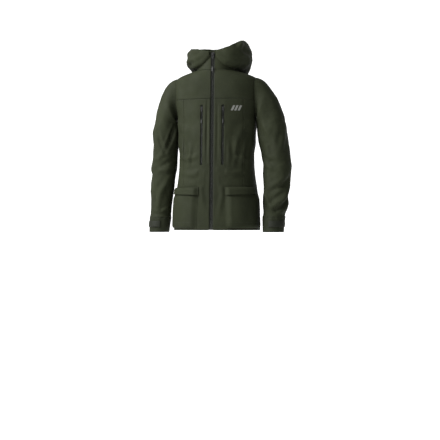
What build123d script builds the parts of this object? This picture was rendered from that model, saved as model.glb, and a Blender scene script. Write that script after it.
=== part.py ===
from build123d import *
import math
import os

# A three-layer waterproof shell jacket, standing open-necked as if on a wearer, in millimetres.
# +Z is up, +X is the wearer's left, the front faces -Y, and the origin is the centre of the
# neck opening at the collar seam.

# Driving dimensions
HEM_Z = -690.0  # bottom edge of the body
COLLAR_TOP_Z = 75.0  # top edge of the collar at the chin
WALL = 3.0  # laminate, seam tape and backer together
FRONT_HEM_Y = -127.0  # front edge of the hem
FRONT_LEAN = 0.0549  # how far the front moves back for each unit of height
ZIP_GAP = 8.0  # half the open width of the front for the main zip
SIDE_SEAM_X = 130.0
YOKE_SEAM_Z = -129.0
ARMHOLE_X = 172.0
ARMHOLE_BOTTOM_Z = -216.0
SHOULDER_Y = 14.0  # the shoulders' middle, front to back

CHEST_ZIP_X = 46.5
CHEST_ZIP_TOP_Z = -160.0
CHEST_ZIP_BOTTOM_Z = -408.0
CHEST_SLOT = 5.0  # half the width of the chest zip's slot
CHEST_ZIP_SIZE = 0.75  # against the main zip
CHEST_ZIP_INSET = 1.6  # how far the chest zip sits behind the fabric's face

POCKET_INNER_X = 60.0
POCKET_BACK_Y = 12.0
POCKET_TOP_Z = -535.0
POCKET_BOTTOM_Z = -681.0
POCKET_DEPTH = 9.0
POCKET_WALL = 1.5
FLAP_HEIGHT = 31.0
FLAP_OUTER_X = 168.0
FLAP_STAND = 1.5  # from the pocket's face to the flap

# Stations of the body, from below the hem to above the collar seam:
# height, half width, back, squareness of the section
BODY = [
    (-700, 188.5, 154, 2.4),
    (-620, 184, 151, 2.4),
    (-535, 178, 143, 2.4),
    (-460, 168, 132, 2.4),
    (-400, 163, 128, 2.4),
    (-330, 162, 133, 2.4),
    (-254, 163, 141, 2.4),
    (-200, 172, 144, 2.4),
    (-150, 184, 145, 2.4),
    (-100, 190, 142, 2.4),
    (-60, 190, 134, 2.35),
    (-38, 180, 127, 2.35),
    (-24, 158, 118, 2.3),
    (-13, 126, 108, 2.3),
    (-5, 98, 97, 2.3),
    (0, 85, 90, 2.3),
    (6, 82, 88, 2.3),
]
COLLAR = [(-6, 84, 90, 2.3), (20, 81, 88, 2.3), (50, 79, 86, 2.3), (82, 78, 85, 2.3)]

# Arms: for each side, its sign, the centres of its named rings, and their half widths and half depths.
# The cap holds the sleeve's outer reach at a few heights over the shoulder.
ARMS = {
    "right": {
        "sign": -1,
        "top": (-227.5, SHOULDER_Y, -224.0),
        "elbow": (-233.0, SHOULDER_Y, -402.0),
        "wrist": (-251.0, -16.0, -698.0),
        "width": {"top": 50.0, "elbow": 56.0, "wrist": 40.5},
        "depth": {"top": 59.0, "elbow": 57.0, "wrist": 44.0},
        "cap": [(-224, 277.5), (-190, 270), (-150, 261), (-100, 243), (-60, 222), (-36, 197)],
    },
    "left": {
        "sign": 1,
        "top": (234.0, SHOULDER_Y, -224.0),
        "elbow": (259.0, SHOULDER_Y, -408.0),
        "wrist": (251.0, -22.0, -698.0),
        "width": {"top": 56.0, "elbow": 57.0, "wrist": 42.5},
        "depth": {"top": 60.0, "elbow": 58.0, "wrist": 46.0},
        "cap": [(-224, 290), (-190, 278), (-150, 263), (-100, 243), (-60, 221), (-36, 197)],
    },
}
# The sleeve cap's inner reach and half depth, at the same heights as each arm's outer reach
CAP_INNER = [178, 150, 130, 120, 125, 150]
CAP_DEPTH = [59.5, 62, 64, 62, 54, 36]
CAP_CUT_X = 173.6  # where the cap meets the armhole
ELBOW_GAP = 48.0  # from the elbow's axis to each rigid sleeve tube
JOIN = 1.5  # left between a rigid tube and the folding ring beside it
CUFF_LENGTH = 68.0
TAB_WIDTH = 26.0

HOOD_PIVOT_Y = -58.0
HOOD_WALL = 2.5
HOOD_BOWL = [
    (6, 103, -70, 152),
    (30, 121, -80, 190),
    (60, 128, -85, 206),
    (90, 122, -80, 205),
    (112, 112, -72, 196),
]
HOOD_POUCH = [
    (-118, 66, 152, 172),
    (-105, 78, 150, 182),
    (-75, 92, 149, 194),
    (-40, 102, 141, 200),
    (-15, 108, 128, 198),
    (14, 108, 106, 184),
]


def front_y(z):
    """The front of the body and collar, a straight line that the main zip follows."""
    return FRONT_HEM_Y + FRONT_LEAN * (z - HEM_Z)


def oval(z, half_width, front, back, power):
    """A closed horizontal outline, rounder or squarer by its power."""
    middle = (front + back) / 2
    half_depth = (back - front) / 2
    points = []
    count = 28
    for k in range(count):
        turn = 2 * math.pi * k / count
        c, s = math.cos(turn), math.sin(turn)
        x = half_width * math.copysign(abs(c) ** (2 / power), c)
        y = half_depth * math.copysign(abs(s) ** (2 / power), s)
        points.append(Vector(x, middle + y, z))
    return Wire([Spline(*points, periodic=True)])


def body_solid(offset, stations=BODY):
    """The body or collar as a solid, grown outwards by offset."""
    rings = [
        oval(z, a + offset, front_y(z) - offset, back + offset, power)
        for z, a, back, power in stations
    ]
    return Solid.make_loft(rings)


def slab(x0, x1, y0, y1, z0, z1):
    """A box between two corners."""
    size = (x1 - x0, y1 - y0, z1 - z0)
    middle = ((x0 + x1) / 2, (y0 + y1) / 2, (z0 + z1) / 2)
    return Pos(*middle) * Box(*size)


def station(z, stations=BODY):
    """Half width, back and power at a height, between the stations."""
    for low, high in zip(stations, stations[1:]):
        if low[0] <= z <= high[0]:
            t = (z - low[0]) / (high[0] - low[0])
            return [low[k] + t * (high[k] - low[k]) for k in (1, 2, 3)]
    raise ValueError(f"no station at {z}")


def front_surface(x, z, offset=0.0):
    """The front surface's y and its slope dy/dx at a place on the body."""
    a, back, power = station(z)
    a += offset
    front, back = front_y(z) - offset, back + offset
    middle, depth = (front + back) / 2, (back - front) / 2
    rest = 1 - (abs(x) / a) ** power
    y = middle - depth * rest ** (1 / power)
    slope = depth / a * (abs(x) / a) ** (power - 1) * rest ** (1 / power - 1)
    return y, math.copysign(slope, x)


def mirrored(part):
    """The wearer's left copy of a piece on the right."""
    return mirror(part, about=Plane.YZ)


def write(name, part):
    """Write one piece to its own file, as a solid or a group of solids."""
    solids = part.solids()
    shape = solids[0] if len(solids) == 1 else Compound(children=list(solids))
    export_step(shape, f"parts/{name}.step")


def write_pair(name, right):
    """Write a piece for the wearer's right and its mirror copy for the left."""
    write(f"{name}_right", right)
    write(f"{name}_left", mirrored(right))


# Zips. In a zip's own frame -Z runs down the chain, -Y faces out, y = 0 is the fabric's outer
# face, and z = 0 is the top of the chain.
COIL = (0.6, 3.4, 2.2, 5.1)  # from the chain's middle, and from the fabric's face
TAPE = (3.9, 13.0, 4.0, 4.6)
STOP_HEIGHT = 3.0
SLIDER_TOP = -5.0
SLIDER_LENGTH = 17.0
BAIL_Z = -9.0  # the pull's axis, below the top of the chain
BAIL_Y = -3.8
LINK_LENGTH = 16.0
CORD_RADIUS = 1.1
CORD_LENGTH = 36.0
GRIP = (7.0, 4.4, 19.0)
BOX_HEIGHT = 12.0


def both_sides(x0, x1, y0, y1, z0, z1):
    """The same box on each side of the chain."""
    return slab(x0, x1, y0, y1, z0, z1) + slab(-x1, -x0, y0, y1, z0, z1)


def zip_coils(length):
    return both_sides(*COIL, -length, -STOP_HEIGHT)


def zip_tapes(length):
    return both_sides(*TAPE, -length, 0)


def zip_stops():
    """Two crimped stops at the top of the coils."""
    return both_sides(COIL[0], COIL[1], COIL[2], COIL[3], -STOP_HEIGHT, 0)


def zip_box(length):
    """The retaining box that the insertion pin sits in, at the bottom of an open-end zip."""
    body = slab(-5.5, 5.5, 1.2, 6.4, -length - BOX_HEIGHT, -length - 0.2)
    slot = both_sides(3.9, 5.6, 3.7, 4.9, -length - BOX_HEIGHT - 1, -length)
    return body - slot


def zip_slider():
    """Two plates joined by a thin bridge between the coils, with a bail for the pull."""
    top, bottom = SLIDER_TOP, SLIDER_TOP - SLIDER_LENGTH
    outer = slab(-6, 6, -1.6, 1.6, bottom, top)
    inner = slab(-6, 6, 5.7, 7.2, bottom, top)
    bridge = slab(-0.35, 0.35, 1.5, 5.8, top - 5, top)
    lips = both_sides(4.2, 6, 1.5, 3.4, bottom, top) + both_sides(4.2, 6, 5.2, 5.8, bottom, top)
    bail = slab(-2.2, 2.2, BAIL_Y - 2.0, -1.5, BAIL_Z - 3.4, BAIL_Z + 3.0)
    hole = Pos(0, BAIL_Y, BAIL_Z) * Rot(0, 90, 0) * Cylinder(1.25, 10)
    body = fillet((outer + inner).edges().filter_by(Axis.Y), 1.8)
    return body + bridge + lips + (bail - hole)


def pull_link():
    """A wire link whose crossbar turns in the slider's bail."""
    bar = Pos(0, BAIL_Y, BAIL_Z) * Rot(0, 90, 0) * Cylinder(0.8, 8.4)
    foot = BAIL_Z - LINK_LENGTH
    arms = both_sides(3.0, 4.2, BAIL_Y - 0.8, BAIL_Y + 0.8, foot, BAIL_Z + 0.8)
    plate = slab(-4.2, 4.2, BAIL_Y - 0.9, BAIL_Y + 0.9, foot - 5, foot + 1)
    return bar + arms + plate


def pull_cord():
    """A straight hanging cord of the pull, from its link to its grip."""
    top = BAIL_Z - LINK_LENGTH - 5
    return Pos(0, BAIL_Y, top - CORD_LENGTH / 2) * Cylinder(CORD_RADIUS, CORD_LENGTH)


def pull_grip():
    """A moulded end for gloved fingers."""
    width, depth, height = GRIP
    top = BAIL_Z - LINK_LENGTH - 5 - CORD_LENGTH
    body = Pos(0, BAIL_Y, top - height / 2) * Box(width, depth, height)
    return fillet(body.edges().filter_by(Axis.Z), 1.6)


def main_zip_frame(top_z):
    """Place a piece from a zip's own frame onto the front line."""
    lean = -math.degrees(math.atan(FRONT_LEAN))
    return Location((0, front_y(top_z), top_z), (lean, 0, 0))


def chest_zip_frame():
    """Place a piece onto the wearer's right chest, turned with the body's curve."""
    y, slope = front_surface(-CHEST_ZIP_X, CHEST_ZIP_TOP_Z)
    lean = -math.degrees(math.atan(FRONT_LEAN))
    turn = math.degrees(math.atan(slope))
    return Location((-CHEST_ZIP_X, y, CHEST_ZIP_TOP_Z), (lean, 0, 0)) * Rot(0, 0, turn)


def scaled(part, size):
    return scale(part, by=size)


def cap_loft(arm, offset):
    """The sleeve cap as a solid of level ovals, grown outwards by offset."""
    rings = []
    for (z, reach), inner, depth in zip(arm["cap"], CAP_INNER, CAP_DEPTH):
        middle, half = (inner + reach) / 2, (reach - inner) / 2
        ring = oval(z, half + offset, SHOULDER_Y - depth - offset, SHOULDER_Y + depth + offset, 2.0)
        rings.append(ring.moved(Location((arm["sign"] * middle, 0, offset))))
    return Solid.make_loft(rings)


def sleeve_cap(arm):
    """The top of the sleeve, from the armhole over the shoulder, which folds as the arm lifts."""
    inner = cap_loft(arm, -WALL)
    throat = level_oval((arm["top"][0], SHOULDER_Y, -240), 45, 55)
    room = Solid.make_loft([throat, throat.moved(Location((0, 0, 30)))])
    return cap_loft(arm, 0) - inner - room - slab(-CAP_CUT_X, CAP_CUT_X, -200, 200, -300, 100)


def level_oval(centre, width, depth):
    """A level oval round a point of the arm."""
    x, y, z = centre
    return oval(z, width, y - depth, y + depth, 2.0).moved(Location((x, 0, 0)))


def arm_ring(arm, z, offset):
    """A level ring of the sleeve at a height, between its named rings."""
    if z >= arm["elbow"][2]:
        low, high = "elbow", "top"
    else:
        low, high = "wrist", "elbow"
    t = (z - arm[low][2]) / (arm[high][2] - arm[low][2])
    centre = [arm[low][k] + t * (arm[high][k] - arm[low][k]) for k in range(3)]
    width = arm["width"][low] + t * (arm["width"][high] - arm["width"][low]) + offset
    depth = arm["depth"][low] + t * (arm["depth"][high] - arm["depth"][low]) + offset
    return level_oval(centre, width, depth)


def sleeve_tube(arm, heights, outer=0.0, inner=-WALL):
    """A tube of the sleeve through level rings."""
    rings = [[arm_ring(arm, z, offset) for z in heights] for offset in (outer, inner)]
    return Solid.make_loft(rings[0], ruled=True) - Solid.make_loft(rings[1], ruled=True)


def cuff_tab(arm):
    """A hook-and-loop strap over the front and outside of the cuff."""
    wrist_z = arm["wrist"][2]
    low, high = wrist_z + 22, wrist_z + 22 + TAB_WIDTH
    ring = sleeve_tube(arm, [low, high], outer=6.0, inner=3.8)
    x, y, _ = arm["wrist"]
    sign = arm["sign"]
    wedge = Polyline((x, y), (x - sign * 28, y - 90), (x + sign * 90, y - 90), (x + sign * 90, y + 6))
    face = make_face([wedge, Line(wedge @ 1, wedge @ 0)])
    return ring & extrude(Plane.XY.offset(low - 5) * face, TAB_WIDTH + 10)


def hood_oval(z, half_width, front, back, grow):
    return oval(z, half_width + grow, front - grow, back + grow, 2.2)


def hood_solids(grow, lift):
    """The hood lying back: a bowl round the neck and a pouch down the back."""
    bowl = Solid.make_loft([hood_oval(z, a, f, b, grow) for z, a, f, b in HOOD_BOWL])
    pouch = Solid.make_loft([hood_oval(z, a, f, b, grow) for z, a, f, b in HOOD_POUCH])
    bowl = bowl.moved(Location((0, 0, lift)))
    pouch = pouch.moved(Location((0, 0, lift)))
    return bowl, pouch


def make_body():
    """The shell's panels, cut from one wall by its seams."""
    outer = body_solid(0)
    inner = body_solid(-WALL)
    shell = outer - inner
    shell = shell & slab(-300, 300, -300, 300, HEM_Z, 0)
    wide = 300
    sleeves_room = slab(ARMHOLE_X, wide, -wide, wide, ARMHOLE_BOTTOM_Z, 20)
    shell = shell - sleeves_room - mirrored(sleeves_room)

    front = shell & slab(-SIDE_SEAM_X, -ZIP_GAP, -wide, 0, HEM_Z, YOKE_SEAM_Z)
    slot_length = CHEST_ZIP_TOP_Z - CHEST_ZIP_BOTTOM_Z
    slot = chest_zip_frame() * slab(-CHEST_SLOT, CHEST_SLOT, -20, 20, -slot_length - 3, 3)
    write_pair("front", front - slot)
    write_pair("side", shell & slab(-wide, -SIDE_SEAM_X, -wide, wide, HEM_Z, YOKE_SEAM_Z))
    write("back_panel", shell & slab(-SIDE_SEAM_X, SIDE_SEAM_X, 0, wide, HEM_Z, YOKE_SEAM_Z))
    write_pair("front_yoke", shell & slab(-ARMHOLE_X, -ZIP_GAP, -wide, SHOULDER_Y, YOKE_SEAM_Z, 0))
    write("back_yoke", shell & slab(-ARMHOLE_X, ARMHOLE_X, SHOULDER_Y, wide, YOKE_SEAM_Z, 0))


def make_collar():
    """The stand collar, its soft lining, and what is sewn inside the back of the neck."""
    def ring(outside, inside, low, high, gap):
        wall = body_solid(outside, COLLAR) - body_solid(inside, COLLAR)
        wall = wall & slab(-200, 200, -200, 200, low, high)
        return wall - slab(-gap, gap, -200, 0, low - 1, high + 1)

    write("collar", ring(0, -WALL, 0, COLLAR_TOP_Z, ZIP_GAP))
    write("collar_lining", ring(-4.4, -6.4, -4, COLLAR_TOP_Z - 3, 20.0))
    tape = body_solid(-8.0, COLLAR) - body_solid(-10.0, COLLAR)
    loop = tape & slab(-32, 32, 0, 200, -5, 15)
    write("hanger_loop", loop - slab(-26, 26, 0, 200, 0, 10))


def make_main_zip():
    top_z = COLLAR_TOP_Z - 3
    place = main_zip_frame(top_z)
    length = (top_z - HEM_Z - 2) / math.cos(math.atan(FRONT_LEAN)) - BOX_HEIGHT
    write("front_zip_coils", place * zip_coils(length))
    write("front_zip_tapes", place * zip_tapes(length))
    write("front_zip_stops", place * zip_stops())
    write("front_zip_box", place * zip_box(length))
    write("front_zip_slider", place * zip_slider())
    write("front_zip_pull_link", place * pull_link())
    write("front_zip_pull_cord", place * pull_cord())
    write("front_zip_pull_grip", place * pull_grip())
    flap = slab(-17, 17, 9.4, 10.6, -length - BOX_HEIGHT + 36, -2)
    write("storm_flap", place * flap)
    pull = place * Pos(0, BAIL_Y, BAIL_Z) * Sphere(0.1)
    print("main zip: travel", round(length - SLIDER_LENGTH + SLIDER_TOP - 1, 2),
          "pull axis at", pull.center())


def make_chest_zips():
    size = CHEST_ZIP_SIZE
    place = chest_zip_frame() * Pos(0, CHEST_ZIP_INSET, 0)
    length = (CHEST_ZIP_TOP_Z - CHEST_ZIP_BOTTOM_Z) / size
    write_pair("chest_zip_coils", place * scaled(zip_coils(length), size))
    write_pair("chest_zip_tapes", place * scaled(zip_tapes(length), size))
    write_pair("chest_zip_slider", place * scaled(zip_slider(), size))
    link = scaled(pull_link(), size)
    cord_drop = (BAIL_Z - LINK_LENGTH - 5) * size - CORD_LENGTH / 2
    cord = Pos(0, BAIL_Y * size, cord_drop) * Cylinder(CORD_RADIUS, CORD_LENGTH)
    grip = Pos(0, 0, -CORD_LENGTH * (1 - size)) * scaled(pull_grip(), size)
    write_pair("chest_zip_pull_link", place * link)
    write_pair("chest_zip_pull_cord", place * cord)
    write_pair("chest_zip_pull_grip", place * grip)
    bag = body_solid(-9.4) - body_solid(-10.6)
    write_pair("chest_pocket_bag", bag & slab(-124, -34, -200, 0, -425, -148))
    pull = place * Pos(0, BAIL_Y * size, BAIL_Z * size) * Sphere(0.1)
    travel = (length - SLIDER_LENGTH + SLIDER_TOP - 1) * size
    print("chest zip: travel", round(travel, 2), "pull axis at", pull.center())


def make_hip_pockets():
    """A patch pocket open at its top, and the flap that hangs over it."""
    face = POCKET_DEPTH + POCKET_WALL
    near = body_solid(0.2)
    region = slab(-230, -POCKET_INNER_X, -230, POCKET_BACK_Y, POCKET_BOTTOM_Z, POCKET_TOP_Z)
    room = slab(-230, -POCKET_INNER_X - POCKET_WALL, -230, POCKET_BACK_Y - POCKET_WALL,
                POCKET_BOTTOM_Z + POCKET_WALL, POCKET_TOP_Z + 5)
    pocket = (body_solid(face) & region) - (body_solid(POCKET_DEPTH) & room) - near
    write_pair("hip_pocket", pocket)

    low = POCKET_TOP_Z - 2
    high = low + FLAP_HEIGHT
    stand = face + FLAP_STAND
    sheet = (body_solid(stand + POCKET_WALL) - body_solid(0.6)) & slab(
        -FLAP_OUTER_X, -POCKET_INNER_X + 2, -230, POCKET_BACK_Y, low, high
    )
    under = body_solid(stand) & slab(-230, 0, -230, 230, low - 5, high - 2.5)
    write_pair("hip_flap", sheet - under)

    ends = [(-POCKET_INNER_X + 2), -FLAP_OUTER_X]
    (x0, y0), (x1, y1) = [(x, front_surface(x, high, stand + POCKET_WALL)[0]) for x in ends]
    run = Vector(x1 - x0, y1 - y0, 0).normalized()
    out = Vector(-run.Y, run.X, 0)
    if out.Y > 0:
        out = -out
    steps = [x0 + (x1 - x0) * k / 60 for k in range(61)]
    bulge = max(
        out.dot(Vector(x, front_surface(x, high, stand + POCKET_WALL)[0], 0)) for x in steps
    )
    middle = Vector((x0 + x1) / 2, (y0 + y1) / 2, 0)
    pos = middle + out * (bulge + 0.4 - out.dot(middle))
    print("right flap hinge: at", pos, "height", high, "along", run)


def make_hem():
    """The hem's inner facing, the elastic drawcord in its tunnel, and its two cord locks."""
    tunnel_top = HEM_Z + 35
    outer, middle, inner = body_solid(-WALL - 0.3), body_solid(-7.8), body_solid(-9.4)
    band = (outer - inner) & slab(-300, 300, -300, 300, HEM_Z, tunnel_top)
    tunnel = (outer - middle) & slab(-300, 300, -300, 300, HEM_Z - 5, tunnel_top - 2)
    gap = slab(-22, 22, -300, 0, HEM_Z - 5, tunnel_top + 5)
    write("hem_facing", band - tunnel - gap)
    cord = (body_solid(-4.2) - body_solid(-6.8)) & slab(-300, 300, -300, 300, -676.0, -673.4)
    write("hem_drawcord", cord - slab(-24, 24, -300, 0, -680, -670))

    y, slope = front_surface(-118, -668, -10.2)
    place = Location((-118, y, -668), (0, 0, math.degrees(math.atan(slope))))
    body = slab(-7, 7, 0.4, 10.4, -8, 8)
    body = fillet(body.edges().filter_by(Axis.Z), 3)
    well = Pos(0, 5.4, 5) * Cylinder(3.4, 10)
    cross = Pos(0, 5.4, -3) * Rot(0, 90, 0) * Cylinder(1.6, 30)
    write_pair("hem_cord_lock", place * (body - well - cross))
    button = Pos(0, 5.4, 8.2) * Cylinder(3.1, 9)
    write_pair("cord_lock_button", place * button)


def make_sleeves():
    for side, arm in ARMS.items():
        top_z, elbow_z, wrist_z = arm["top"][2], arm["elbow"][2], arm["wrist"][2]
        cuff_z = wrist_z + CUFF_LENGTH
        write(f"shoulder_gusset_{side}", sleeve_cap(arm))
        write(f"sleeve_upper_{side}", sleeve_tube(arm, [elbow_z + ELBOW_GAP, top_z - JOIN]))
        low, high = elbow_z - ELBOW_GAP + JOIN, elbow_z + ELBOW_GAP - JOIN
        write(f"elbow_gusset_{side}", sleeve_tube(arm, [low, elbow_z, high]))
        low, high = cuff_z + 0.1, elbow_z - ELBOW_GAP
        write(f"sleeve_lower_{side}", sleeve_tube(arm, [low, (low + high) / 2, high]))
        write(f"cuff_{side}", sleeve_tube(arm, [wrist_z, cuff_z], outer=3.0, inner=-WALL + 0.5))
        write(f"cuff_tab_{side}", cuff_tab(arm))


def make_hood():
    bowl_out, pouch_out = hood_solids(0, 0)
    bowl_in, pouch_in = hood_solids(-HOOD_WALL, HOOD_WALL)
    lid = slab(-300, 300, -300, HOOD_PIVOT_Y, -200, 300)
    neck = Solid.make_loft([oval(z, 90, -112, 112, 2.4) for z in (-10, 140)])
    hood = bowl_out + pouch_out - bowl_in - pouch_in
    hood = hood - pouch_in.moved(Location((0, 0, 14))) - neck - lid
    write("hood_shell", hood)

    brim = Solid.make_loft([hood_oval(z, a, f, b, 2.3) for z, a, f, b in HOOD_BOWL])
    brim = brim - Solid.make_loft([hood_oval(z, a, f, b, 0.3) for z, a, f, b in HOOD_BOWL])
    write("hood_brim", brim & slab(-84, 84, 120, 300, 84, 111))

    pad = Solid.make_loft([hood_oval(z, a, f, b, 2.5) for z, a, f, b in HOOD_POUCH])
    pad = pad - Solid.make_loft([hood_oval(z, a, f, b, 0.3) for z, a, f, b in HOOD_POUCH])
    write("hood_adjuster", pad & slab(-15, 15, 165, 300, -80, -48))

    seam = Solid.make_loft([oval(z, 89.5, -111.5, 111.5, 2.4) for z in (4, 7)])
    seam = seam - body_solid(0.3, COLLAR) - slab(-300, 300, -300, HOOD_PIVOT_Y, -20, 20)
    write("hood_seam", seam)


os.makedirs("parts", exist_ok=True)
make_body()
make_collar()
make_main_zip()
make_chest_zips()
make_hip_pockets()
make_hem()
make_sleeves()
make_hood()
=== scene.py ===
"""Hardshell jacket: the looks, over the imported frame.

The cloth is skinned from the frame's own panels: rays find the outer surface, folds move it along its
normals, and it is cut at the seams into the panels that a real jacket is sewn from.
"""
import math

import bmesh
import bpy
import numpy as np
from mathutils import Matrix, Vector
from mathutils.bvhtree import BVHTree
from mathutils.kdtree import KDTree


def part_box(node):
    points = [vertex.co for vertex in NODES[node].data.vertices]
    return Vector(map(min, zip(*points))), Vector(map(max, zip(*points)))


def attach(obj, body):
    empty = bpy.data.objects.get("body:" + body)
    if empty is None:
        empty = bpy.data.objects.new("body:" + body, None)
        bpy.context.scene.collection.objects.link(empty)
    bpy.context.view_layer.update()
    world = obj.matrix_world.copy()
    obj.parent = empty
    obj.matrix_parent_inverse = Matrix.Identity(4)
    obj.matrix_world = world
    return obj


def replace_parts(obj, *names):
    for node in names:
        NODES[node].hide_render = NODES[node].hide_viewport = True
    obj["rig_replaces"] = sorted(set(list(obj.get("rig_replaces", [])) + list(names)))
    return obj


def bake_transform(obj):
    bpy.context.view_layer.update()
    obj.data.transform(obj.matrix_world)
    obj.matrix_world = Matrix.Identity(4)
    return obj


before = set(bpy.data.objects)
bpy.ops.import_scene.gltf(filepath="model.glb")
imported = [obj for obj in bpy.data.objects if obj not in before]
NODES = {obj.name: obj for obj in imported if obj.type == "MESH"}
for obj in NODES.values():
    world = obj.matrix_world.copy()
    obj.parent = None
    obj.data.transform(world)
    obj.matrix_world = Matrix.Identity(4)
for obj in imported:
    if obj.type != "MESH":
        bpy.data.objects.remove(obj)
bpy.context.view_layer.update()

SIDES = {"right": -1, "left": 1}
AXIS_Y = 0.010  # the body's axis, front to back
ZIP_EDGE = 0.008
SIDE_SEAM = 0.130
YOKE_SEAM = -0.129
ARMHOLE = 0.172
ARMHOLE_LOW = -0.216
SHOULDER_Y = 0.014
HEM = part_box("hem_facing")[0].z
COLLAR_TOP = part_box("collar")[1].z
CHEST_ZIP = {s: (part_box(f"chest_zip_coils_{s}")[0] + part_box(f"chest_zip_coils_{s}")[1]) / 2 for s in SIDES}
FULLNESS = 0.0068  # how far the cloth stands out at the armpits
CHEST_CUT = (0.0048, -0.157, -0.411)  # a chest zip's opening: half its width, its top and its bottom
PULL_LANE = (0.0466, -0.13, -0.515)  # where a chest pull travels: x, top and bottom
rng = np.random.default_rng(11)


# --- materials -------------------------------------------------------------------------------------


class Paint:
    """A principled material with small helpers for its node tree."""

    def __init__(self, name, rough=0.6, metal=0.0, specular=0.5, sheen=0.0):
        self.made = bpy.data.materials.new(name)
        self.made.use_nodes = True
        self.tree = self.made.node_tree
        self.shader = self.tree.nodes["Principled BSDF"]
        self.shader.inputs["Roughness"].default_value = rough
        self.shader.inputs["Metallic"].default_value = metal
        self.shader.inputs["Specular IOR Level"].default_value = specular
        self.shader.inputs["Sheen Weight"].default_value = sheen
        self.shader.inputs["Sheen Roughness"].default_value = 0.5
        self.height = None
        self.coords = self.node("ShaderNodeTexCoord")

    def node(self, kind, **inputs):
        made = self.tree.nodes.new(kind)
        for key, value in inputs.items():
            self.put(made, key.replace("_", " "), value)
        return made

    def put(self, node, key, value):
        if isinstance(value, bpy.types.NodeSocket):
            self.tree.links.new(value, node.inputs[key])
        else:
            node.inputs[key].default_value = value

    def noise(self, scale, detail=2.0):
        made = self.node("ShaderNodeTexNoise", Scale=scale, Detail=detail)
        self.tree.links.new(self.coords.outputs["Object"], made.inputs["Vector"])
        return made.outputs["Fac"]

    def bands(self, scale, axis):
        made = self.node("ShaderNodeTexWave", Scale=scale)
        made.bands_direction = axis
        self.tree.links.new(self.coords.outputs["UV"], made.inputs["Vector"])
        return made.outputs["Fac"]

    def mix(self, factor, a, b):
        made = self.tree.nodes.new("ShaderNodeMix")
        made.data_type = "RGBA"
        self.put(made, 0, factor)
        self.put(made, 6, a)
        self.put(made, 7, b)
        return made.outputs[2]

    def maths(self, kind, a, b):
        made = self.tree.nodes.new("ShaderNodeMath")
        made.operation = kind
        self.put(made, 0, a)
        self.put(made, 1, b)
        return made.outputs[0]

    def spread(self, value, low, high, to_low=0.0, to_high=1.0):
        made = self.node("ShaderNodeMapRange")
        for key, number in (("From Min", low), ("From Max", high), ("To Min", to_low), ("To Max", to_high)):
            made.inputs[key].default_value = number
        self.put(made, "Value", value)
        return made.outputs["Result"]

    def colour(self, value):
        self.put(self.shader, "Base Color", value)

    def roughness(self, value):
        self.put(self.shader, "Roughness", value)

    def raise_by(self, height, distance, strength=1.0):
        """Add one layer of bump, in metres of height."""
        made = self.node("ShaderNodeBump", Strength=strength, Distance=distance)
        self.put(made, "Height", height)
        if self.height is not None:
            self.put(made, "Normal", self.height)
        self.height = made.outputs["Normal"]
        self.put(self.shader, "Normal", self.height)


def shade(rgb, by):
    return tuple(min(1.0, c * by) for c in rgb) + (1.0,)


def woven(name, rgb, pitch=0.0006, rough=0.74, specular=0.10, sheen=0.02, vary=0.12):
    """Tightly woven cloth: weave, slow colour drift, handling marks and a little crease bump."""
    paint = Paint(name, rough, 0.0, specular, sheen)
    paint.shader.inputs["Sheen Tint"].default_value = shade(rgb, 6.0)
    drift = paint.spread(paint.noise(7.0, 3.0), 0.35, 0.65)
    base = paint.mix(drift, shade(rgb, 1 - vary), shade(rgb, 1 + vary))
    marks = paint.spread(paint.noise(38.0, 4.0), 0.52, 0.74)
    base = paint.mix(paint.maths("MULTIPLY", marks, 0.22), base, shade(rgb, 1.45))
    warp, weft = (paint.bands(0.5 / pitch / math.pi, axis) for axis in "XY")
    weave = paint.maths("MULTIPLY", warp, weft)
    base = paint.mix(paint.maths("MULTIPLY", weave, 0.25), base, shade(rgb, 0.72))
    paint.colour(base)
    paint.roughness(paint.spread(paint.noise(22.0, 3.0), 0.3, 0.7, rough - 0.07, rough + 0.09))
    paint.raise_by(paint.noise(16.0, 3.0), 0.0035, 0.35)
    paint.raise_by(paint.noise(130.0, 3.0), 0.0006, 0.35)
    paint.raise_by(weave, 0.00012, 0.6)
    return paint.made


def moulded(name, rgb, rough, metal=0.0, specular=0.5):
    """Moulded or painted parts: fine grain, worn lighter in patches."""
    paint = Paint(name, rough, metal, specular)
    worn = paint.spread(paint.noise(160.0, 4.0), 0.55, 0.8)
    paint.colour(paint.mix(paint.maths("MULTIPLY", worn, 0.4), shade(rgb, 1.0), shade(rgb, 2.0)))
    paint.roughness(paint.spread(paint.noise(240.0, 3.0), 0.3, 0.7, max(0.05, rough - 0.08), rough + 0.1))
    paint.raise_by(paint.noise(900.0, 2.0), 0.00008, 0.5)
    return paint.made


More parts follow.
